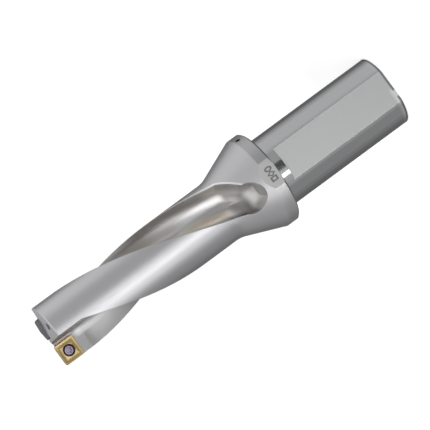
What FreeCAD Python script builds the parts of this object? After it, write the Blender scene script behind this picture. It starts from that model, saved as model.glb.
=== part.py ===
import FreeCAD, Part
import math
import os

# Indexable insert drill, millimetres, standing on the end face of its shank.
# The origin is the centre of that face and +Z runs up the axis to the cutting end.
# The shank's flat and the rake face of the peripheral insert both face -Y.
# Azimuths are degrees about +Z from +X. A right-hand flute gains azimuth as it climbs.

Vector = FreeCAD.Vector

# Shank
shank_diameter = 32.0
shank_length = 62.5
shank_end_chamfer = 0.4
flat_offset = 14.0
flat_land = 5.1
inlet_diameter = 14.0
inlet_depth = 54.0
inlet_chamfer = 1.0

# Flange
flange_diameter = 43.2
flange_rim_width = 5.5
flange_edge_chamfer = 0.7
flange_cone_length = 19.2
flange_blend_radius = 12.0
mark_flat_depth = 0.95
pin_hole_diameter = 2.2
pin_hole_depth = 3.0
pin_hole_height = 3.6
pin_hole_azimuth = -25.8

# Fluted body
body_diameter = 27.8
body_length = 90.6
front_slope_angle = 6.6
front_edge_chamfer = 0.35

# Flutes
flute_lead = 256.0
flute_radius = 6.7
flute_centre_offset = 10.3
straight_length = 12.2
run_out_rise = 10.2
wide_pass_rise = 17.6
narrowing_rise = 22.0
narrowing_stations = 4
peripheral_flute_azimuth = -151.5
rake_wall_depth = 0.9
rake_corner_reach = 2.5
rake_corner_radius = 3.3
back_edge_azimuth = -97.4
central_flute_azimuth = 22.1
central_flute_spread = 17.0

# Coolant channels
channel_diameter = 3.0
channel_offset = 10.3
channel_azimuth = -68.9
channel_start_drop = 1.0
channel_stations = 8
feed_foot_offset = 4.0
feed_foot_drop = 5.0

# Inserts
insert_side = 9.525
insert_thickness = 3.97
insert_corner_radius = 0.8
insert_flank_angle = 11.0
central_insert_peak = 0.45
hole_diameter = 3.8
countersink_diameter = 5.3
countersink_angle = 60.0
cutting_radius = 14.0
centre_overlap = 0.8
peripheral_lead = 1.65
central_lead = 2.3
groove_margin = 0.3
groove_width = 1.9
groove_depth = 0.28

# Insert pockets
wall_gap = 0.02
outer_wall_gap = 0.3
relief_depth = 0.5
relief_below = 0.9
peripheral_relief_side = 1.2
central_relief_side = 0.3
relief_corner_radius = 1.0
corner_relief_diameter = 1.6
back_relief_angle = 18.0

# Insert screws
screw_diameter = 3.5
screw_length = 6.6
screw_head_diameter = 4.4
screw_head_bevel = 0.4
thread_gap = 0.05
screw_tip_chamfer = 0.4
drive_diameter = 2.8
drive_depth = 1.1
drive_lobes = 6

# How far the cutting tools run out past the part
end_clearance = 10.0
side_clearance = 6.0

# Heights and radii that follow from the sizes above
body_radius = body_diameter / 2
flange_radius = flange_diameter / 2
flat_top = shank_length - flat_land
rim_top = shank_length + flange_rim_width
run_out_height = rim_top + run_out_rise
wide_pass_height = rim_top + wide_pass_rise
narrowing_height = rim_top + narrowing_rise
channel_base_height = rim_top - channel_start_drop
cone_top = rim_top + flange_cone_length
front_rim_height = cone_top + body_length
straight_base = front_rim_height - straight_length
front_centre_height = front_rim_height + body_radius * math.tan(math.radians(front_slope_angle))
peripheral_top = front_rim_height + peripheral_lead
central_top = front_rim_height + central_lead
clear_height = front_centre_height + end_clearance
clear_radius = flange_radius + side_clearance


def polar(radius, azimuth, height=0.0):
    angle = math.radians(azimuth)
    return Vector(radius * math.cos(angle), radius * math.sin(angle), height)


def turn_at(height):
    # Degrees that a flute has turned at this height, none along its straight end
    return min(height - straight_base, 0.0) * 360.0 / flute_lead


def box_between(low, high):
    size = high - low
    return Part.makeBox(size.x, size.y, size.z, low)


def revolved(points):
    # Points are (radius, height) pairs of a closed half section
    outline = Part.makePolygon([Vector(r, 0, z) for r, z in points + points[:1]])
    return Part.Face(outline).revolve(Vector(0, 0, 0), Vector(0, 0, 1), 360)


def twisted(section, bottom, top, lead=flute_lead):
    # Sweep a section that lies at the bottom height up the axis while it turns with the lead
    spine = Part.Wire([Part.makeLine(Vector(0, 0, bottom), Vector(0, 0, top))])
    guide = Part.makeHelix(lead, top - bottom, clear_radius)
    guide.translate(Vector(0, 0, bottom))
    sweep = Part.BRepOffsetAPI.MakePipeShell(spine)
    sweep.setAuxiliarySpine(Part.Wire(guide.Edges), True, 0)
    sweep.add(section)
    sweep.build()
    sweep.makeSolid()
    return sweep.shape()


def flute_section(azimuth, spread, height):
    # Two rounded cutter tracks joined by an arc round the core, walls running out past the rim
    start = azimuth + turn_at(height)
    finish = start + spread
    radius = flute_radius
    core = flute_centre_offset - radius
    reach = clear_radius - flute_centre_offset

    def around(track, direction):
        return polar(flute_centre_offset, track, height) + polar(radius, track + direction)

    rake_foot = around(start, -90)
    back_foot = around(finish, 90)
    rake_tip = rake_foot + polar(reach, start)
    back_tip = back_foot + polar(reach, finish)
    rake_floor = polar(core, start, height)
    back_floor = polar(core, finish, height)
    edges = [Part.makeLine(rake_tip, rake_foot),
             Part.Arc(rake_foot, around(start, -135), rake_floor).toShape()]
    if spread > 0:
        middle = polar(core, (start + finish) / 2, height)
        edges.append(Part.Arc(rake_floor, middle, back_floor).toShape())
    edges += [Part.Arc(back_floor, around(finish, 135), back_foot).toShape(),
              Part.makeLine(back_foot, back_tip),
              Part.makeLine(back_tip, rake_tip)]
    return Part.Wire(edges)


def peripheral_flute_section(height):
    # A flat wall behind the insert's rake face, a rounded corner near the core, and a back wall
    # that runs out through the edge of the land. Below the wide part the corner grows into the
    # cutter's round track and the back wall swings round until it lies along the rake wall
    corner = Vector(-rake_corner_reach, rake_wall_depth, 0)
    to_edge = polar(body_radius, back_edge_azimuth) - corner
    rake = -180.0
    back = math.degrees(math.atan2(to_edge.y, to_edge.x))
    setback = rake_corner_radius / math.sin(math.radians((back - rake) / 2))
    centre = corner + polar(setback, (rake + back) / 2)
    share = (narrowing_height - height) / (narrowing_height - run_out_height)
    share = min(max(share, 0.0), 1.0)
    share *= share * (3 - 2 * share)
    radius = rake_corner_radius + (flute_radius - rake_corner_radius) * share
    centre += (polar(flute_centre_offset, peripheral_flute_azimuth) - centre) * share
    rake += (peripheral_flute_azimuth - rake) * share
    back += (peripheral_flute_azimuth - back) * share
    rake_foot = centre + polar(radius, rake - 90)
    back_foot = centre + polar(radius, back + 90)
    middle = (rake + back) / 2
    points = [rake_foot + polar(clear_radius, rake), rake_foot,
              centre + polar(radius, (rake - 90 + middle - 180) / 2),
              centre - polar(radius, middle),
              centre + polar(radius, (back + 90 + middle + 180) / 2),
              back_foot, back_foot + polar(clear_radius, back)]
    turn = FreeCAD.Rotation(Vector(0, 0, 1), turn_at(height))
    lift = Vector(0, 0, height)
    points = [turn.multVec(point + lift) for point in points]
    rake_tip, rake_foot, rake_side, floor, back_side, back_foot, back_tip = points
    return Part.Wire([Part.makeLine(rake_tip, rake_foot),
                      Part.Arc(rake_foot, rake_side, floor).toShape(),
                      Part.Arc(floor, back_side, back_foot).toShape(),
                      Part.makeLine(back_foot, back_tip),
                      Part.makeLine(back_tip, rake_tip)])


def cutter_end(azimuth, height):
    # The ball nose and the shaft of the cutter where it lifts out of the flute
    track = azimuth + turn_at(height)
    centre = polar(flute_centre_offset, track, height)
    ball = Part.makeSphere(flute_radius, centre)
    shaft = Part.makeCylinder(flute_radius, clear_radius, centre, polar(1, track))
    return [ball, shaft]


def peripheral_flute_cutters():
    step = (narrowing_height - run_out_height) / narrowing_stations
    heights = [run_out_height + step * number for number in range(narrowing_stations + 1)]
    straight = Part.Face(peripheral_flute_section(straight_base))
    cutters = [
        straight.extrude(Vector(0, 0, clear_height - straight_base)),
        twisted(peripheral_flute_section(narrowing_height), narrowing_height, straight_base),
        Part.makeLoft([peripheral_flute_section(height) for height in heights], True, False)]
    return cutters + cutter_end(peripheral_flute_azimuth, run_out_height)


def central_flute_cutters():
    # Below the wide part the back track steers across to the rake track, where both lift out
    azimuth, spread = central_flute_azimuth, central_flute_spread
    straight = Part.Face(flute_section(azimuth, spread, straight_base))
    wide = flute_section(azimuth, spread, wide_pass_height)
    run_out = flute_section(azimuth, 0, run_out_height)
    rise = wide_pass_height - run_out_height
    steering_turn = turn_at(wide_pass_height) - turn_at(run_out_height) + spread
    cutters = [
        straight.extrude(Vector(0, 0, clear_height - straight_base)),
        twisted(wide, wide_pass_height, straight_base),
        twisted(run_out, run_out_height, wide_pass_height),
        twisted(run_out, run_out_height, wide_pass_height, 360 * rise / steering_turn)]
    return cutters + cutter_end(azimuth, run_out_height)


def channel_ring(azimuth, height):
    # The channel's round section, drawn in four arcs that start at its outermost point
    turn = azimuth + turn_at(height)
    centre = polar(channel_offset, turn, height)
    radius = channel_diameter / 2
    arcs = []
    for quarter in range(4):
        start = turn + 90 * quarter
        arcs.append(Part.Arc(centre + polar(radius, start), centre + polar(radius, start + 45),
                             centre + polar(radius, start + 90)).toShape())
    return Part.Wire(arcs)


def coolant_channel(azimuth):
    # A helical channel up one land, fed by a sloping hole from the inlet bore
    radius = channel_diameter / 2
    step = (straight_base - channel_base_height) / channel_stations
    heights = [channel_base_height + step * number for number in range(channel_stations + 1)]
    helical = Part.makeLoft([channel_ring(azimuth, height) for height in heights], True, False)
    straight = Part.makeCylinder(radius, clear_height - straight_base,
                                 polar(channel_offset, azimuth, straight_base))
    low = azimuth + turn_at(channel_base_height)
    foot = polar(feed_foot_offset, low, inlet_depth - feed_foot_drop)
    head = polar(channel_offset, low, channel_base_height)
    feed = Part.makeCylinder(radius, (head - foot).Length, foot, head - foot)
    return [helical, straight, feed, Part.makeSphere(radius, head)]


def turned_body():
    shank_radius = shank_diameter / 2
    chamfer = flange_edge_chamfer
    solid = revolved([
        (0, 0),
        (shank_radius - shank_end_chamfer, 0),
        (shank_radius, shank_end_chamfer),
        (shank_radius, flat_top),
        (shank_radius, shank_length),
        (flange_radius - chamfer, shank_length),
        (flange_radius, shank_length + chamfer),
        (flange_radius, rim_top),
        (body_radius, cone_top),
        (body_radius, front_rim_height - front_edge_chamfer),
        (body_radius - front_edge_chamfer, front_rim_height),
        (0, front_centre_height)])
    neck = [edge for edge in solid.Edges
            if abs(edge.BoundBox.ZMin - cone_top) < 0.01 and abs(edge.BoundBox.ZMax - cone_top) < 0.01]
    return solid.makeFillet(flange_blend_radius, neck)


def inlet_bore():
    radius = inlet_diameter / 2
    tip = inlet_depth + radius / math.tan(math.radians(59))
    return revolved([(0, -1), (radius + inlet_chamfer + 1, -1), (radius, inlet_chamfer),
                     (radius, inlet_depth), (0, tip)])


def insert_frame(side):
    # Maps an insert drawn rake face up at its own centre to its seat on either side of the web
    if side == "peripheral":
        centre = Vector(-(cutting_radius - insert_side / 2), 0, peripheral_top - insert_side / 2)
        turn = 0
    else:
        reach = insert_side / 2
        centre = Vector(reach - centre_overlap, 0, central_top - central_insert_peak - reach)
        turn = 180
    rake_forward = FreeCAD.Rotation(Vector(1, 0, 0), 90)
    about_axis = FreeCAD.Rotation(Vector(0, 0, 1), turn)
    return FreeCAD.Placement(centre, about_axis.multiply(rake_forward))


def placed(shape, side):
    moved = shape.copy()
    moved.Placement = insert_frame(side)
    return moved


def insert_outline(side, height, inset):
    # One ring of the insert: a square, or a square whose edges rise to a blunt peak
    half = insert_side / 2 - inset
    peak = central_insert_peak if side == "central" else 0.0
    points = []
    for quarter in range(4):
        spin = FreeCAD.Rotation(Vector(0, 0, 1), 90 * quarter)
        points.append(spin.multVec(Vector(half, half, height)))
        if peak > 0:
            points.append(spin.multVec(Vector(0, half + peak, height)))
    return Part.makePolygon(points + points[:1])


def insert_blank(side):
    inset = insert_thickness * math.tan(math.radians(insert_flank_angle))
    blank = Part.makeLoft([insert_outline(side, 0, 0),
                           insert_outline(side, -insert_thickness, inset)], True, True)
    corners = [edge for edge in blank.Edges if is_insert_corner(edge)]
    return blank.makeFillet(insert_corner_radius, corners)


def is_insert_corner(edge):
    first, last = edge.Vertexes[0].Point, edge.Vertexes[-1].Point
    rises = abs(first.z - last.z) > insert_thickness / 2
    on_diagonal = abs(abs(first.x) - abs(first.y)) < 0.01
    return rises and on_diagonal


def square_frustum(half_top, half_bottom, depth):
    def ring(half, height):
        corners = [Vector(half, half, height), Vector(-half, half, height),
                   Vector(-half, -half, height), Vector(half, -half, height)]
        return Part.makePolygon(corners + corners[:1])
    return Part.makeLoft([ring(half_top, 0), ring(half_bottom, -depth)], True, True)


def chip_groove():
    outer = insert_side / 2 - groove_margin
    inner = outer - groove_width
    slope = groove_width / 3
    hollow = square_frustum(outer, outer - slope, groove_depth)
    plateau = square_frustum(inner, inner + slope, groove_depth)
    return hollow.cut(plateau)


def countersunk_hole():
    radius = hole_diameter / 2
    top = countersink_diameter / 2
    return revolved([(0, 1), (top, 1), (top, 0), (radius, -countersink_depth(radius)),
                     (radius, -insert_thickness - 1), (0, -insert_thickness - 1)])


def make_insert(side):
    shape = insert_blank(side).cut(countersunk_hole()).cut(chip_groove())
    return placed(shape, side)


def countersink_depth(radius):
    # How far below the rake face the countersink has this radius
    cone = math.tan(math.radians(countersink_angle / 2))
    return (countersink_diameter / 2 - radius) / cone


def screw_top():
    return countersink_depth(screw_head_diameter / 2) - screw_head_bevel


def make_screw(side):
    # The cone under the head lies on the countersink and the shaft runs into the tapped hole
    head = screw_head_diameter / 2
    shaft = screw_diameter / 2
    end = screw_top() + screw_length
    shape = revolved([
        (0, -screw_top()),
        (head - screw_head_bevel, -screw_top()),
        (head, -countersink_depth(head)),
        (shaft, -countersink_depth(shaft)),
        (shaft, -end + screw_tip_chamfer),
        (shaft - screw_tip_chamfer, -end),
        (0, -end)])
    return placed(shape.cut(hexalobular_socket()), side)


def hexalobular_socket():
    lobe = drive_diameter / 7
    centre = drive_diameter / 2 - lobe
    base = -screw_top() - drive_depth
    socket = Part.makeCylinder(centre, drive_depth + 1, Vector(0, 0, base))
    for number in range(drive_lobes):
        around = polar(centre, number * 360 / drive_lobes, base)
        socket = socket.fuse(Part.makeCylinder(lobe, drive_depth + 1, around))
    return socket.removeSplitter()


def pocket_cutters(side):
    # Drawn in the insert's frame: +Z out of the rake face, +X towards the axis, -Y towards the shank
    far = clear_radius
    half = insert_side / 2
    if side == "central":
        half += central_insert_peak
    inset = insert_thickness * math.tan(math.radians(insert_flank_angle))
    outer = half + outer_wall_gap if side == "central" else far
    rim = half + (peripheral_relief_side if side == "peripheral" else central_relief_side)

    def ring(height, shrink):
        wall = half + wall_gap - shrink
        edge = outer - shrink
        corners = [Vector(wall, -wall, height), Vector(wall, far, height),
                   Vector(-edge, far, height), Vector(-edge, -wall, height)]
        return Part.makePolygon(corners + corners[:1])

    seat = Part.makeLoft([ring(0, 0), ring(-insert_thickness, inset)], True, True)
    floor_corner = half + wall_gap - inset
    corner = Part.makeCylinder(corner_relief_diameter / 2, far,
                               Vector(floor_corner, -floor_corner, -insert_thickness))
    relief = box_between(Vector(-far, -half - relief_below, -relief_depth), Vector(rim, far, far))
    inner_edges = [edge for edge in relief.Edges
                   if abs(edge.CenterOfMass.x - rim) < 0.01
                   and abs(edge.CenterOfMass.y + half + relief_below) < 0.01]
    relief = relief.makeFillet(relief_corner_radius, inner_edges)
    radius = screw_diameter / 2 + thread_gap
    depth = screw_top() + screw_length + thread_gap
    hole = Part.makeCylinder(radius, depth, Vector(0, 0, -depth))
    point = Part.makeCone(0, radius, radius / 2, Vector(0, 0, -depth - radius / 2))
    return [placed(tool, side) for tool in (seat, corner, relief, hole, point)]


def back_relief():
    # The front of the land behind the peripheral insert slopes away from its cutting edge
    far = clear_radius
    drop = far * math.tan(math.radians(back_relief_angle))
    top = front_centre_height - relief_depth
    outline = Part.makePolygon([Vector(-far, 0, top), Vector(-far, far, top - drop),
                                Vector(-far, far, clear_height), Vector(-far, 0, clear_height),
                                Vector(-far, 0, top)])
    return Part.Face(outline).extrude(Vector(2 * far, 0, 0))


def pin_hole():
    height = shank_length + pin_hole_height
    outside = polar(flange_radius + 1, pin_hole_azimuth, height)
    return Part.makeCylinder(pin_hole_diameter / 2, pin_hole_depth + 1, outside,
                             polar(-1, pin_hole_azimuth))


def make_body():
    body = turned_body()
    far = clear_radius
    cutters = [box_between(Vector(-far, -far, -1), Vector(far, -flat_offset, flat_top)),
               box_between(Vector(-far, -far, shank_length - 1),
                           Vector(far, mark_flat_depth - flange_radius, cone_top)),
               inlet_bore(), pin_hole(), back_relief()]
    cutters += peripheral_flute_cutters() + pocket_cutters("peripheral")
    cutters += central_flute_cutters() + pocket_cutters("central")
    for turn in (0, 180):
        cutters += coolant_channel(channel_azimuth + turn)
    for cutter in cutters:
        body = body.cut(cutter)
    return body


def export(name, shape):
    shape.exportStep("parts/" + name + ".step")
    print(name, "valid", shape.isValid(), "solids", len(shape.Solids), "mm3", round(shape.Volume, 1))


os.makedirs("parts", exist_ok=True)
export("drill_body", make_body())
export("peripheral_insert", make_insert("peripheral"))
export("central_insert", make_insert("central"))
export("peripheral_insert_screw", make_screw("peripheral"))
export("central_insert_screw", make_screw("central"))
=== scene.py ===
import math

import bmesh
import bpy
from mathutils import Matrix, Vector


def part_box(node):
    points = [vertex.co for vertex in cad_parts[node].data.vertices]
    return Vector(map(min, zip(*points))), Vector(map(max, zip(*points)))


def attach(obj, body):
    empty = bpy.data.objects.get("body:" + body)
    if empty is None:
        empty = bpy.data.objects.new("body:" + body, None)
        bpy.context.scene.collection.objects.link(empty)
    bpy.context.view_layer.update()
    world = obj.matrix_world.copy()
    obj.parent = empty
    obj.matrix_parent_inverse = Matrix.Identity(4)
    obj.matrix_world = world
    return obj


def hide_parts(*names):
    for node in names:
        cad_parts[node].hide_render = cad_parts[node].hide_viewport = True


# Indexable insert drill, standing on its shank with the cutting end up. Metres, but the places
# in the finishes are in millimetres. Azimuths of the studio are degrees from -Y towards -X.

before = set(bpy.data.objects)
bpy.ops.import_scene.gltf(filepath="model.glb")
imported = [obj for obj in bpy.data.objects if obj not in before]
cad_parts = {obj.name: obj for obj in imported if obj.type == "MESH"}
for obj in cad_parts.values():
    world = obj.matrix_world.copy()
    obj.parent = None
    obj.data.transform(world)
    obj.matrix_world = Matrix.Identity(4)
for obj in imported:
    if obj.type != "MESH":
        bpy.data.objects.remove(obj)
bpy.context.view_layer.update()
mm = 0.001
degree = math.pi / 180


class Wire:
    # One output of a shader tree, which can be used in sums
    def __init__(self, tree, socket=None):
        self.tree = tree
        self.socket = socket

    def node(self, kind, settings=None, sockets=None):
        made = self.tree.nodes.new(kind)
        for name, value in (settings or {}).items():
            setattr(made, name, value)
        for name, value in (sockets or {}).items():
            if isinstance(value, Wire):
                self.tree.links.new(value.socket, made.inputs[name])
            else:
                made.inputs[name].default_value = value
        return Wire(self.tree, made.outputs[0])

    def output(self, name):
        # Another output of the same node
        return Wire(self.tree, self.socket.node.outputs[name])

    def math(self, operation, *values):
        return self.node("ShaderNodeMath", {"operation": operation}, dict(enumerate(values)))

    def __add__(self, other):
        return self.math("ADD", self, other)

    def __radd__(self, other):
        return self.math("ADD", other, self)

    def __sub__(self, other):
        return self.math("SUBTRACT", self, other)

    def __rsub__(self, other):
        return self.math("SUBTRACT", other, self)

    def __mul__(self, other):
        return self.math("MULTIPLY", self, other)

    def __rmul__(self, other):
        return self.math("MULTIPLY", other, self)

    def __truediv__(self, other):
        return self.math("DIVIDE", self, other)

    def __rtruediv__(self, other):
        return self.math("DIVIDE", other, self)

    def __pow__(self, other):
        return self.math("POWER", self, other)

    def __abs__(self):
        return self.math("ABSOLUTE", self)

    def larger(self, other):
        return self.math("MAXIMUM", self, other)

    def smaller(self, other):
        return self.math("MINIMUM", self, other)

    def clamped(self):
        return self.node("ShaderNodeClamp", None, {"Value": self})

    def step(self, low, high, start=0.0, end=1.0):
        return self.node("ShaderNodeMapRange", {"interpolation_type": "SMOOTHSTEP"},
                         {"Value": self, "From Min": low, "From Max": high,
                          "To Min": start, "To Max": end})

    def fall(self, low, high):
        return self.step(low, high, 1.0, 0.0)

    def within(self, start, end):
        # 1 between two soft edges, each given as a pair
        return self.step(*start) * self.fall(*end)

    def blended(self, first, second):
        # This value as the share of the second colour
        mix = self.node("ShaderNodeMix", {"data_type": "RGBA"},
                        {0: self, 6: opaque(first), 7: opaque(second)})
        return mix.output(2)

    def scaled(self, x, y, z):
        return self.node("ShaderNodeVectorMath", {"operation": "MULTIPLY"},
                         {0: self, 1: (x, y, z)})

    def noise(self, scale, detail):
        return self.node("ShaderNodeTexNoise", None,
                         {"Vector": self, "Scale": scale, "Detail": detail, "Roughness": 0.5})


def opaque(colour):
    return colour if isinstance(colour, Wire) else (*colour, 1.0)


def clearedTree(owner):
    owner.use_nodes = True
    owner.node_tree.nodes.clear()
    return Wire(owner.node_tree)


def showSurface(shader, kind="ShaderNodeOutputMaterial"):
    output = shader.tree.nodes.new(kind)
    shader.tree.links.new(shader.socket, output.inputs["Surface"])


class Finish:
    # A material with one Principled shader. Its x, y and z are the object's own, in millimetres
    def __init__(self, name, colour, roughness, metallic=1.0):
        self.material = bpy.data.materials.new(name)
        self.material.use_nodes = True
        self.tree = self.material.node_tree
        self.shader = self.tree.nodes["Principled BSDF"]
        self.place = Wire(self.tree).node("ShaderNodeTexCoord").output("Object")
        split = self.place.node("ShaderNodeSeparateXYZ", None, {0: self.place})
        self.x, self.y, self.z = (split.output(axis) / mm for axis in "XYZ")
        self.radius = (self.x * self.x + self.y * self.y) ** 0.5
        self.roughness = roughness
        self.set("Base Color", opaque(colour))
        self.set("Metallic", metallic)

    def set(self, name, value):
        if isinstance(value, Wire):
            self.tree.links.new(value.socket, self.shader.inputs[name])
        else:
            self.shader.inputs[name].default_value = value

    def azimuth(self):
        # Degrees about the axis, from +X
        return self.y.math("ARCTAN2", self.y, self.x) / degree

    def roughen(self, noise, amount):
        self.roughness = self.roughness + amount * (noise - 0.5)

    def grained(self, scale, detail, roughen, strength, depth, edge):
        # Fine lines or grain. They vary the roughness, and are a relief on edges that are broken
        # by a small radius. Depth and radius are in millimetres
        noise = self.place.scaled(*scale).noise(1.0, detail)
        self.roughen(noise, roughen)
        self.set("Roughness", self.roughness)
        rounded = self.place.node("ShaderNodeBevel", {"samples": 6}, {"Radius": edge * mm})
        normal = self.place.node("ShaderNodeBump", None,
                                 {"Height": noise, "Strength": strength,
                                  "Distance": depth * mm, "Normal": rounded})
        self.set("Normal", normal)


# Camera
view = {
    "elevation": 13.5,     # degrees down onto the drill
    "roll": 126.35,        # degrees that the drill's axis leans in the picture
    "tip": 177.94 * mm,    # height of the point on the axis that the picture is set by
    "aimRight": 68.39 * mm,
    "aimUp": 50.36 * mm,
    "distance": 4.0,
    "frameWidth": 177.98 * mm,
    "sensorWidth": 36.0,
    "clipEnd": 100.0,
}


def makeCamera():
    tilt = math.radians(view["elevation"])
    roll = math.radians(view["roll"])
    toLens = Vector((0, -math.cos(tilt), math.sin(tilt)))
    level = Vector((1, 0, 0))
    upright = Vector((0, math.sin(tilt), math.cos(tilt)))
    right = level * math.cos(roll) - upright * math.sin(roll)
    up = level * math.sin(roll) + upright * math.cos(roll)
    target = Vector((0, 0, view["tip"])) + right * view["aimRight"] + up * view["aimUp"]
    lens = bpy.data.cameras.new("camera")
    lens.sensor_width = view["sensorWidth"]
    lens.lens = view["sensorWidth"] * view["distance"] / view["frameWidth"]
    lens.clip_end = view["clipEnd"]
    camera = bpy.data.objects.new("camera", lens)
    bpy.context.scene.collection.objects.link(camera)
    turn = Matrix([right, up, toLens]).transposed()
    camera.rotation_euler = turn.to_euler()
    camera.location = target + toLens * view["distance"]
    bpy.context.scene.camera = camera
    print("camera placed")


# Studio
studio = {
    "floorSide": 8.0,
    "floorDrop": 0.05 * mm,    # keeps the floor clear of the shank's end face
    "floorColour": (0.80, 0.80, 0.80),
    "floorLift": 0.55,
    "diffuseSky": 0.55,
    "lampAzimuth": 15,
    "lampHeight": 1.3,
    "lampDistance": 1.6,
    "lampSize": 0.8,
    "lampPower": 14.0,
    "lampAim": 0.09,           # height on the drill's axis
    "underBrightness": 0.42,
    "underSegments": 48,
    "panelRadius": 0.7,
    "panelSteps": 12,
    "panelLow": -0.28,
    "panelKnee": -0.07,
    "panelHead": 0.16,
    "panelHigh": 0.9,
    # from and to azimuth in degrees, and how bright the panel's foot, middle and top are
    "panels": [
        ("farRightCard", -180, -138, 0.16, 0.16, 0.50),
        ("farRightSlope", -138, -131, 0.23, 0.26, 0.55),
        ("rightCard", -131, -124, 0.33, 0.42, 0.62),
        ("rightSlope", -124, -116, 0.45, 0.60, 0.68),
        ("rightSlopeEnd", -116, -107, 0.57, 0.77, 0.74),
        ("rightBoard", -107, -67, 0.66, 0.92, 0.80),
        ("greySlope", -67, -58, 0.57, 0.71, 0.72),
        ("greyBoard", -58, -18, 0.47, 0.51, 0.64),
        ("darkFlag", -18, -1, 0.09, 0.60, 0.60),
        ("thinFlag", -1, 6, 0.07, 1.95, 0.80),
        ("thinSlope", 6, 10, 0.30, 1.95, 0.78),
        ("thinBoard", 10, 21.5, 0.62, 1.95, 0.85),
        ("stripLight", 21.5, 31, 5.2, 1.8, 1.6),
        ("leftBoard", 31, 52, 0.53, 1.6, 1.15),
        ("leftSlope", 52, 66, 0.47, 0.76, 0.58),
        ("leftFlag", 66, 104, 0.34, 0.34, 0.45),
        ("leftCard", 104, 120, 0.28, 0.28, 0.42),
        ("farLeftSlope", 120, 136, 0.20, 0.20, 0.38),
        ("farLeftCard", 136, 180, 0.16, 0.16, 0.36),
    ],
}


def newObject(name, mesh):
    data = bpy.data.meshes.new(name)
    mesh.to_mesh(data)
    mesh.free()
    made = bpy.data.objects.new(name, data)
    bpy.context.scene.collection.objects.link(made)
    return made


def makeReflected(name, mesh, strength):
    # A glowing board that is seen only in the steel
    board = newObject(name, mesh)
    material = bpy.data.materials.new(name)
    glow = clearedTree(material).node("ShaderNodeEmission", None,
                                      {"Color": (1, 1, 1, 1), "Strength": strength})
    showSurface(glow)
    board.data.materials.append(material)
    board.visible_camera = False
    board.visible_diffuse = False
    board.visible_shadow = False


def makePanel(name, start, end, bottom, top, strength):
    radius = studio["panelRadius"]
    angle = math.radians(start)
    x, y = -radius * math.sin(angle), -radius * math.cos(angle)
    mesh = bmesh.new()
    low = mesh.verts.new((x, y, bottom))
    high = mesh.verts.new((x, y, top))
    edge = mesh.edges.new((low, high))
    bmesh.ops.spin(mesh, geom=[low, high, edge], cent=(0, 0, 0), axis=(0, 0, 1),
                   angle=-math.radians(end - start), steps=studio["panelSteps"],
                   use_merge=False, use_duplicate=False)
    makeReflected(name, mesh, strength)


def makeUnderBoard():
    # What shines up from below
    mesh = bmesh.new()
    bmesh.ops.create_circle(mesh, cap_ends=True, segments=studio["underSegments"],
                            radius=studio["panelRadius"])
    bmesh.ops.translate(mesh, verts=mesh.verts, vec=(0, 0, studio["panelLow"]))
    makeReflected("underBoard", mesh, studio["underBrightness"])


def makeLamp():
    angle = math.radians(studio["lampAzimuth"])
    distance = studio["lampDistance"]
    light = bpy.data.lights.new("keyLamp", "AREA")
    light.shape = "DISK"
    light.size = studio["lampSize"]
    light.energy = studio["lampPower"]
    lamp = bpy.data.objects.new("keyLamp", light)
    bpy.context.scene.collection.objects.link(lamp)
    lamp.location = (-distance * math.sin(angle), -distance * math.cos(angle),
                     studio["lampHeight"])
    aim = Vector((0, 0, studio["lampAim"])) - lamp.location
    lamp.rotation_euler = aim.to_track_quat("-Z", "Y").to_euler()
    lamp.visible_glossy = False


def makeFloor():
    mesh = bmesh.new()
    bmesh.ops.create_grid(mesh, x_segments=1, y_segments=1, size=studio["floorSide"] / 2)
    bmesh.ops.translate(mesh, verts=mesh.verts, vec=(0, 0, -studio["floorDrop"]))
    floor = newObject("floor", mesh)
    material = bpy.data.materials.new("paleFloor")
    start = clearedTree(material)
    # Lifted to white where the camera looks at it, so that only the shadow is left to see
    paper = start.node("ShaderNodeBsdfDiffuse", None, {"Color": opaque(studio["floorColour"])})
    glow = start.node("ShaderNodeEmission", None, {"Strength": studio["floorLift"]})
    lifted = start.node("ShaderNodeAddShader", None, {0: paper, 1: glow})
    seen = start.node("ShaderNodeLightPath").output("Is Camera Ray")
    showSurface(start.node("ShaderNodeMixShader", None, {0: seen, 1: paper, 2: lifted}))
    floor.data.materials.append(material)
    floor.visible_glossy = False


def makeSky():
    world = bpy.data.worlds.new("studioSky")
    bpy.context.scene.world = world
    start = clearedTree(world)
    path = start.node("ShaderNodeLightPath")
    direct = path.output("Is Camera Ray") + path.output("Is Glossy Ray")
    direct = (direct + path.output("Is Transmission Ray")).clamped()
    strength = studio["diffuseSky"] + (1 - studio["diffuseSky"]) * direct
    sky = start.node("ShaderNodeBackground", None, {"Color": (1, 1, 1, 1), "Strength": strength})
    showSurface(sky, "ShaderNodeOutputWorld")


def makeStudio():
    makeSky()
    makeFloor()
    knee, head = studio["panelKnee"], studio["panelHead"]
    for name, start, end, foot, middle, top in studio["panels"]:
        makePanel(name + "Foot", start, end, studio["panelLow"], knee, foot)
        makePanel(name + "Middle", start, end, knee, head, middle)
        makePanel(name + "Top", start, end, head, studio["panelHigh"], top)
    makeUnderBoard()
    makeLamp()
    bpy.context.scene.view_settings.view_transform = "Standard"
    print("studio set")


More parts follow.
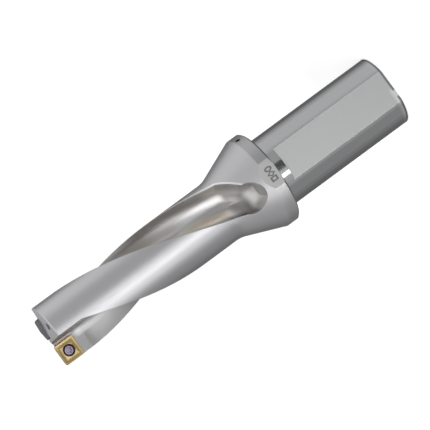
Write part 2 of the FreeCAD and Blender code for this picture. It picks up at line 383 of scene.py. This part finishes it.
# Turned and ground steel of the shank, the flange and the lands. A zone of a finish begins or
# ends softly between the two numbers of a pair, and lies between two such pairs
steel = {
    "turnedColour": (0.60, 0.597, 0.612),
    "turnedRoughness": 0.38,
    "turnedGrain": {"scale": (120, 120, 5200), "detail": 2.0, "roughen": 0.07,
                    "strength": 0.06, "depth": 0.05, "edge": 0.35},
    "broadScale": 60,
    "broadRoughen": 0.05,
    "groundColour": (0.565, 0.57, 0.58),
    "groundRoughness": 0.12,
    "groundGrain": {"scale": (90, 90, 9000), "detail": 2.0, "roughen": 0.06,
                    "strength": 0.04, "depth": 0.03, "edge": 0.15},
    "flatColour": (0.635, 0.65, 0.645),
    "flatRoughness": 0.46,
    "flatGrain": {"scale": (2600, 400, 60), "detail": 2.0, "roughen": 0.06,
                  "strength": 0.04, "depth": 0.03, "edge": 0.15},
    # The front flute's back track, as in the part: its azimuth at a height and degrees per mm
    "trackRadius": 6.7,
    "twistTop": 165.6,
    "backTrackTop": 39.1,
    "turnPerMm": 1.40625,
    "trackEnd": 78.2,
    "backTrackEnd": -100.8,
    "steerPerMm": 3.70,
    # The edge along that track was broken by hand; between two heights it gets a painted
    # highlight
    "highlightColour": (0.93, 0.92, 0.93),
    "highlightPast": ((-0.4, -0.2), (1.1, 1.35)),
    "highlightHeight": ((72, 76), (105, 122)),
    # The flange's rim is a little darker on one side and brighter on the other: painted shade
    # and a painted highlight
    "rimTop": (67.8, 68.2),
    "shadedRimColour": (0.515, 0.512, 0.525),
    "shadedRimAcross": (2, 7),
    "litRimColour": (0.67, 0.667, 0.68),
    "litRimAcross": (-11, -7),
    # The shank's lower end has a painted highlight band above a rim of painted shade, which has
    # one painted glint
    "endShadeColour": (0.28, 0.28, 0.285),
    "endFlat": (-13.5, -13.1),
    "endRadius": (14.9, 15.3),
    "endHighlightHeight": (1.2, 3.2),
    "endHighlightAcross": (-2.2, -0.4),
    "endHighlightCover": 0.7,
    "endHighlightLeast": 0.1,
    "endShadeHeight": (0.8, 1.3),
    "glintAcross": -3.7,
    "glintWidth": (0.9, 2.0),
}


def turnedSteel():
    finish = Finish("turnedSteel", steel["turnedColour"], steel["turnedRoughness"])
    # How far each point is past the flute's back edge
    upper = steel["backTrackTop"] + (finish.z - steel["twistTop"]) * steel["turnPerMm"]
    lower = steel["backTrackEnd"] + (finish.z - steel["trackEnd"]) * steel["steerPerMm"]
    share = steel["trackRadius"] / finish.radius
    reach = share.math("ARCSINE", share)
    past = ((finish.azimuth() - upper.smaller(lower)) * degree - reach) * finish.radius
    # Painted highlight along the flute's back edge
    edgeHighlight = past.within(*steel["highlightPast"]) * finish.z.within(*steel["highlightHeight"])
    # Painted shade on one side of the flange's rim, a painted highlight on the other
    rim = finish.z.fall(*steel["rimTop"])
    rimShade = rim * finish.x.step(*steel["shadedRimAcross"])
    rimHighlight = rim * finish.x.fall(*steel["litRimAcross"])
    colour = rimShade.blended(steel["turnedColour"], steel["shadedRimColour"])
    colour = rimHighlight.blended(colour, steel["litRimColour"])
    finish.set("Base Color", edgeHighlight.blended(colour, steel["highlightColour"]))
    finish.roughen(finish.place.noise(steel["broadScale"], 3.0), steel["broadRoughen"])
    finish.grained(**steel["turnedGrain"])
    return finish


def shankSteel(name, colour, roughness, grain):
    finish = Finish(name, colour, roughness)
    front = finish.y.fall(*steel["endFlat"])
    rim = front.larger(finish.radius.step(*steel["endRadius"]))
    # A painted highlight band on the end, and painted shade on its rim but for one painted glint
    highlightShare = finish.z.fall(*steel["endHighlightHeight"]) * rim * steel["endHighlightCover"]
    highlightShare = highlightShare * finish.x.step(*steel["endHighlightAcross"], 1.0, steel["endHighlightLeast"])
    glint = abs(finish.x - steel["glintAcross"]).fall(*steel["glintWidth"]) * front
    dark = finish.z.fall(*steel["endShadeHeight"]) * rim * (1 - glint)
    highlighted = highlightShare.blended(colour, steel["highlightColour"])
    finish.set("Base Color", dark.blended(highlighted, steel["endShadeColour"]))
    finish.grained(**grain)
    return finish


# The small flat on the flange: a ring, a diamond and a square burnt in by a laser. Sizes of the
# diamond and the square are set against the ring's
marking = {
    "flatColour": (0.60, 0.60, 0.595),
    "burntColour": (0.15, 0.15, 0.155),
    "height": 65.8,
    "pitch": 2.35,
    "halfWidth": 1.02,
    "halfHeight": 1.6,
    "size": 0.82,
    "diamond": 0.88,
    "square": 1.1,
    "stroke": (0.19, 0.38),
    "weakest": 0.65,
    "mottle": 0.35,
    "mottleScale": 2500,
    "grain": {"scale": (2600, 400, 60), "detail": 2.0, "roughen": 0.05,
              "strength": 0.04, "depth": 0.03, "edge": 0.35},
}


def markedSteel():
    finish = Finish("markedSteel", marking["flatColour"], steel["turnedRoughness"])
    tall = abs((finish.z - marking["height"]) / marking["halfHeight"])

    def wide(number):
        return abs((finish.x - number * marking["pitch"]) / marking["halfWidth"])

    def outline(distance):
        return abs(distance - marking["size"]).fall(*marking["stroke"])

    ring = outline((wide(1) * wide(1) + tall * tall) ** 0.5)
    diamond = outline((wide(0) + tall) * marking["diamond"])
    square = outline(wide(-1).larger(tall * marking["square"]))
    mark = (ring + diamond + square).clamped()
    mottle = finish.place.noise(marking["mottleScale"], 2.0) * marking["mottle"]
    burnt = (mark * (marking["weakest"] + mottle)).clamped()
    finish.set("Base Color", burnt.blended(marking["flatColour"], marking["burntColour"]))
    finish.grained(**marking["grain"])
    return finish


# Milled steel of the flutes, the pockets and the pin hole. Heights are up the axis, and what is
# across is along x. A middle is the height and place that a leaning band goes through, and how
# far across it goes per millimetre of height
flute = {
    "colour": (0.53, 0.515, 0.505),
    "roughness": 0.34,
    "grain": {"scale": (500, 500, 160), "detail": 3.0, "roughen": 0.06,
              "strength": 0.04, "depth": 0.05, "edge": 0.35},
    "tipColour": (0.60, 0.60, 0.60),
    "tipRoughness": 0.50,
    "tipStart": (122, 142),
    "frontDepth": (-4, -1.5),    # y of the flute that faces the camera, for its own heat tint, painted highlight and painted shade
    # The scooped end by the flange has a painted highlight and is soft, with painted shade
    # towards its sides
    "scoopHighlightColour": (0.86, 0.85, 0.815),
    "scoopEnd": (74.4, 77.8),
    "scoopHighlightEnd": (72.5, 75.0),
    "softEnd": (76, 83),
    "softness": 1.25,
    "rightAcross": (-7.0, -4.6),
    "middleAcross": (-5.8, -3.2),
    "middleStart": (74.5, 76.5),
    "rightShadeCover": 0.45,
    "leftAcross": (-0.5, 1.4),
    "leftShadeCover": 0.5,
    # Painted highlights brighten one flute in its corner near the insert, and on its floor.
    # Reach and side turn with the flutes
    "flutesHighlightColour": (0.92, 0.92, 0.93),
    "cornerReach": ((-7.4, -6.2), (-3.8, -3.0)),
    "cornerHeight": ((146, 158), (167, 170)),
    "cornerHighlightCover": 0.35,
    "floorSide": ((3.0, 4.8), (6.6, 8.4)),
    "floorHeight": ((83.5, 86.5), (101, 112)),
    "floorHighlightCover": 0.66,
    "floorWeak": (88, 96),
    "floorWeakest": 0.7,
    # Heat has left a brown and olive tint along the flute's rim
    "brownColour": (0.66, 0.575, 0.485),
    "brownStart": (84.5, 88.5),
    "oliveColour": (0.53, 0.515, 0.41),
    "oliveStart": (98, 104),
    "tintMiddle": (95.7, -0.5, 0.22),
    "tintWidth": (0.9, 2.3),
    "tintHeight": ((84.5, 88), (105, 111)),
    "tintCover": 0.9,
    "tintWeakest": 0.5,
    "cloudScale": 230,
    # Chips have left the upper part of the flute dark
    "sootColour": (0.31, 0.285, 0.26),
    "sootAcross": (10.6, 12.2),
    "sootHeight": ((111, 125), (127, 146)),
    "sootCover": 0.85,
    # The back wall by the flange has a painted highlight. Its edge leans from a height on
    "wallHighlightColour": (0.78, 0.765, 0.74),
    "wallHighlightAcross": (0.3, 3.3),
    "wallHighlightHeight": ((76, 78.5), (89, 95)),
    "wallHighlightLeanStart": 79.5,
    "wallHighlightLean": 0.55,
    "brightestWallEnd": (80, 85),
    # The rest of the floor there has painted shade, and so has the pocket under the insert
    "paintedShadeColour": (0.345, 0.335, 0.33),
    "floorShadeAcross": (-3.0, 2.5),
    "floorShadeHeight": ((75.0, 78.2), (83, 86)),
    "floorShadeCover": 0.74,
    "pocketStart": (160, 165),
    "pocketShadeCover": 0.5,
    # Deeper painted shade, low on the scoop's floor and in the pin hole
    "darkColour": (0.25, 0.245, 0.24),
    "deepShadeEnd": (77.5, 80.0),
    # Below this height the pin hole gets painted shade
    "pinHoleTop": (68.6, 69.4),
    # A band of painted shade dims the highlight where the cutter turned off, and painted shade
    # darkens the pocket behind the insert's flank
    "streakShadeColour": (0.30, 0.295, 0.29),
    "streakShadeMiddle": (80.2, 1.0, 0.635),
    "streakShadeWidth": (0.4, 2.4),
    "streakShadeHeight": ((76.5, 78.5), (83.5, 85.5)),
    # Painted shade, brownish grey, on the pocket behind the insert's flank
    "burntColour": (0.47, 0.44, 0.43),
    "flankShadeAcross": ((-5.2, -4.6), (-3.0, -2.2)),
    "flankShadeStart": (167.5, 172.5),
}


def milledSteel():
    finish = Finish("milledSteel", flute["colour"], flute["roughness"])
    height, across = finish.z, finish.x
    front = finish.y.fall(*flute["frontDepth"])
    tip = height.step(*flute["tipStart"])
    scoop = height.fall(*flute["scoopEnd"])

    def leaning(middle, width):
        level, place, lean = middle
        return abs(across - place - (height - level) * lean).fall(*width)

    # Below the straight part the flutes turn with their lead
    turned = (height - steel["twistTop"]).smaller(0.0) * steel["turnPerMm"]
    angle = (finish.azimuth() - turned) * degree
    reach = finish.radius * angle.math("COSINE", angle)
    side = finish.radius * angle.math("SINE", angle)
    corner = reach.within(*flute["cornerReach"]) * height.within(*flute["cornerHeight"])
    floor = side.within(*flute["floorSide"]) * height.within(*flute["floorHeight"])
    floor = floor * height.step(*flute["floorWeak"], flute["floorWeakest"])
    highlightShare = corner * flute["cornerHighlightCover"] + floor * flute["floorHighlightCover"]

    cloud = finish.place.noise(flute["cloudScale"], 2.0)
    tinted = leaning(flute["tintMiddle"], flute["tintWidth"]) * (flute["tintWeakest"] + cloud)
    tinted = tinted * height.within(*flute["tintHeight"]) * front
    tint = height.step(*flute["oliveStart"]).blended(flute["brownColour"], flute["oliveColour"])
    tint = height.step(*flute["brownStart"]).blended(flute["wallHighlightColour"], tint)
    soot = height.within(*flute["sootHeight"]) * across.fall(*flute["sootAcross"])

    # Painted highlight on the back wall by the flange, brightest at its lower end
    lean = (height - flute["wallHighlightLeanStart"]).larger(0.0) * flute["wallHighlightLean"]
    wallHighlight = (across - lean).step(*flute["wallHighlightAcross"])
    wallHighlight = wallHighlight * height.within(*flute["wallHighlightHeight"]) * front
    wallHighlightTone = height.step(*flute["brightestWallEnd"]).blended(steel["highlightColour"], flute["wallHighlightColour"])

    # Painted shade on the floor by the flange and towards the scoop's sides
    floorShade = across.fall(*flute["floorShadeAcross"]) * height.within(*flute["floorShadeHeight"]) * front
    right = across.fall(*flute["rightAcross"]) * flute["rightShadeCover"] * scoop
    middle = across.fall(*flute["middleAcross"]) * height.step(*flute["middleStart"])
    left = across.step(*flute["leftAcross"]) * flute["leftShadeCover"]
    sides = (middle * flute["rightShadeCover"] + left) * scoop * front
    floorShade = floorShade.larger(right).larger(sides)
    darker = height.step(*flute["deepShadeEnd"]).blended(flute["darkColour"], flute["paintedShadeColour"])
    pocket = height.step(*flute["pocketStart"]) * (1 - corner)
    # A band of painted shade that dims a highlight where the cutter turned off
    streakShade = leaning(flute["streakShadeMiddle"], flute["streakShadeWidth"])
    streakShade = streakShade * height.within(*flute["streakShadeHeight"])
    # Painted shade on the pocket wall behind the insert's flank
    burnt = across.within(*flute["flankShadeAcross"]) * height.step(*flute["flankShadeStart"])

    colour = tip.blended(flute["colour"], flute["tipColour"])
    # Painted highlight on the scooped end, brightest at its bottom
    colour = scoop.blended(colour, flute["scoopHighlightColour"])
    colour = (height.fall(*flute["scoopHighlightEnd"]) * scoop).blended(colour, steel["highlightColour"])
    # Painted highlights in one flute's corner and on its floor
    colour = highlightShare.clamped().blended(colour, flute["flutesHighlightColour"])
    colour = (soot * flute["sootCover"]).blended(colour, flute["sootColour"])
    colour = wallHighlight.blended(colour, wallHighlightTone)
    # Painted shade in the pocket under the insert and on the floor by the flange
    colour = (pocket * flute["pocketShadeCover"]).blended(colour, flute["paintedShadeColour"])
    colour = (floorShade * flute["floorShadeCover"]).blended(colour, darker)
    colour = (tinted * flute["tintCover"]).clamped().blended(colour, tint)
    colour = streakShade.blended(colour, flute["streakShadeColour"])
    # Painted shade behind the insert's flank
    colour = burnt.blended(colour, flute["burntColour"])
    # Painted shade inside the pin hole
    colour = height.fall(*flute["pinHoleTop"]).blended(colour, flute["darkColour"])
    finish.set("Base Color", colour)

    soft = tip.larger(height.fall(*flute["softEnd"]) * flute["softness"])
    finish.roughness = flute["roughness"] + (flute["tipRoughness"] - flute["roughness"]) * soft
    finish.grained(**flute["grain"])
    return finish


# Which faces of the body get which finish, by their place in millimetres and where they face
body = {
    "creaseAngle": 18.0,
    "facesFront": -0.99,
    "flatPlace": -14.0,
    "flatTolerance": 0.05,
    "flatTop": 60,
    "markRadius": 20,
    "markTop": 75,
    "shankTop": 62.6,
    "radius": 13.9,
    "coneTop": 87.2,
    "coneLength": 19.2,
    "coneSlope": 0.401,
    "cutDepth": 0.15,        # what lies deeper than this under the turned surface is milled
    "frontHeight": 177.6,
    "facesUp": 0.9,
}


def bodyFinish(face):
    centre = face.center / mm
    radius = math.hypot(centre.x, centre.y)
    cone = min(max(body["coneTop"] - centre.z, 0.0), body["coneLength"])
    cutRadius = body["radius"] + cone * body["coneSlope"] - body["cutDepth"]
    facesFront = face.normal.y < body["facesFront"]
    onFlat = abs(centre.y - body["flatPlace"]) < body["flatTolerance"]
    inside = radius < cutRadius and centre.z < body["frontHeight"]
    if facesFront and onFlat and centre.z < body["flatTop"]:
        return "flat"
    if facesFront and radius > body["markRadius"] and centre.z < body["markTop"]:
        return "marked"
    if centre.z < body["shankTop"]:
        return "ground"
    if inside and face.normal.z < body["facesUp"]:
        return "milled"
    return "turned"


mergeDistance = 0.002 * mm


def mergedCopy(node, name, creaseAngle):
    # The CAD mesh with its triangles joined, smooth but for its creases
    mesh = bmesh.new()
    mesh.from_mesh(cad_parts[node].data)
    bmesh.ops.remove_doubles(mesh, verts=mesh.verts, dist=mergeDistance)
    limit = math.radians(creaseAngle)
    for edge in mesh.edges:
        edge.smooth = edge.is_manifold and edge.calc_face_angle(0.0) < limit
    for face in mesh.faces:
        face.smooth = True
    copy = newObject(name, mesh)
    copy.data.materials.clear()
    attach(copy, "root")
    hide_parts(node)
    return copy


def makeBody():
    copy = mergedCopy("drill_body", "drillBody", body["creaseAngle"])
    finishes = {
        "turned": turnedSteel(),
        "ground": shankSteel("groundSteel", steel["groundColour"], steel["groundRoughness"],
                             steel["groundGrain"]),
        "milled": milledSteel(),
        "flat": shankSteel("flatSteel", steel["flatColour"], steel["flatRoughness"],
                           steel["flatGrain"]),
        "marked": markedSteel(),
    }
    for finish in finishes.values():
        copy.data.materials.append(finish.material)
    numbers = {name: number for number, name in enumerate(finishes)}
    for face in copy.data.polygons:
        face.material_index = numbers[bodyFinish(face)]
    print("body finished")


# Inserts and screws. Places on the golden insert are in millimetres from its centre
inserts = {
    "creaseAngle": 24.0,
    "goldColour": (0.74, 0.585, 0.33),
    "goldRoughness": 0.45,
    "shade": 0.9,
    "shadeScale": 420,
    "shadeEdge": (0.35, 0.65),
    "rimColour": (0.45, 0.33, 0.15),
    "rimStart": (4.2, 4.5),
    "grooveShadeColour": (0.42, 0.31, 0.12),
    "groovePlace": 3.45,
    "grooveWidth": (0.25, 0.65),
    "countersinkShadeColour": (0.10, 0.07, 0.05),
    "countersinkShadeEnd": (2.55, 2.75),
    "darkColour": (0.17, 0.165, 0.19),
    "darkRoughness": 0.35,
    "darkMetallic": 0.8,
    "coatingGrain": {"scale": (2200, 2200, 2200), "detail": 3.0, "roughen": 0.08,
                     "strength": 0.05, "depth": 0.03, "edge": 0.08},
    "screwColour": (0.37, 0.325, 0.42),
    "screwRoughness": 0.40,
    "screwGrain": {"scale": (1800, 1800, 1800), "detail": 3.0, "roughen": 0.1,
                   "strength": 0.05, "depth": 0.03, "edge": 0.06},
}


def goldCoating():
    # Golden titanium nitride with painted shade, in dark brown, inside the screw's countersink
    finish = Finish("goldCoating", inserts["goldColour"], inserts["goldRoughness"])
    low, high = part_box("peripheral_insert")
    centre = (low + high) / 2 / mm
    across, up = finish.x - centre.x, finish.z - centre.z
    fromScrew = (across * across + up * up) ** 0.5
    fromCentre = abs(across).larger(abs(up))
    shade = finish.place.noise(inserts["shadeScale"], 2.0).step(*inserts["shadeEdge"])
    # Painted shade along the groove
    groove = abs(fromCentre - inserts["groovePlace"]).fall(*inserts["grooveWidth"])
    rim = fromCentre.step(*inserts["rimStart"])
    # Painted shade inside the screw's countersink
    tint = fromScrew.fall(*inserts["countersinkShadeEnd"])
    shaded = [inserts["shade"] * part for part in inserts["goldColour"]]
    colour = shade.blended(inserts["goldColour"], shaded)
    colour = groove.blended(colour, inserts["grooveShadeColour"])
    colour = rim.blended(colour, inserts["rimColour"])
    finish.set("Base Color", tint.blended(colour, inserts["countersinkShadeColour"]))
    finish.grained(**inserts["coatingGrain"])
    return finish


def darkCoating():
    finish = Finish("darkCoating", inserts["darkColour"], inserts["darkRoughness"],
                    inserts["darkMetallic"])
    finish.grained(**inserts["coatingGrain"])
    return finish


def screwSteel():
    finish = Finish("screwSteel", inserts["screwColour"], inserts["screwRoughness"])
    finish.grained(**inserts["screwGrain"])
    return finish


def makeInserts():
    gold, dark, screws = goldCoating(), darkCoating(), screwSteel()
    for node, name, finish, slot in (
            ("peripheral_insert", "peripheralInsert", gold, "gold_coating"),
            ("central_insert", "centralInsert", dark, "dark_coating"),
            ("peripheral_insert_screw", "peripheralScrew", screws, "screw_steel"),
            ("central_insert_screw", "centralScrew", screws, "screw_steel")):
        copy = mergedCopy(node, name, inserts["creaseAngle"])
        copy.data.materials.append(finish.material)
    print("inserts and screws finished")


makeCamera()
makeStudio()
makeBody()
makeInserts()
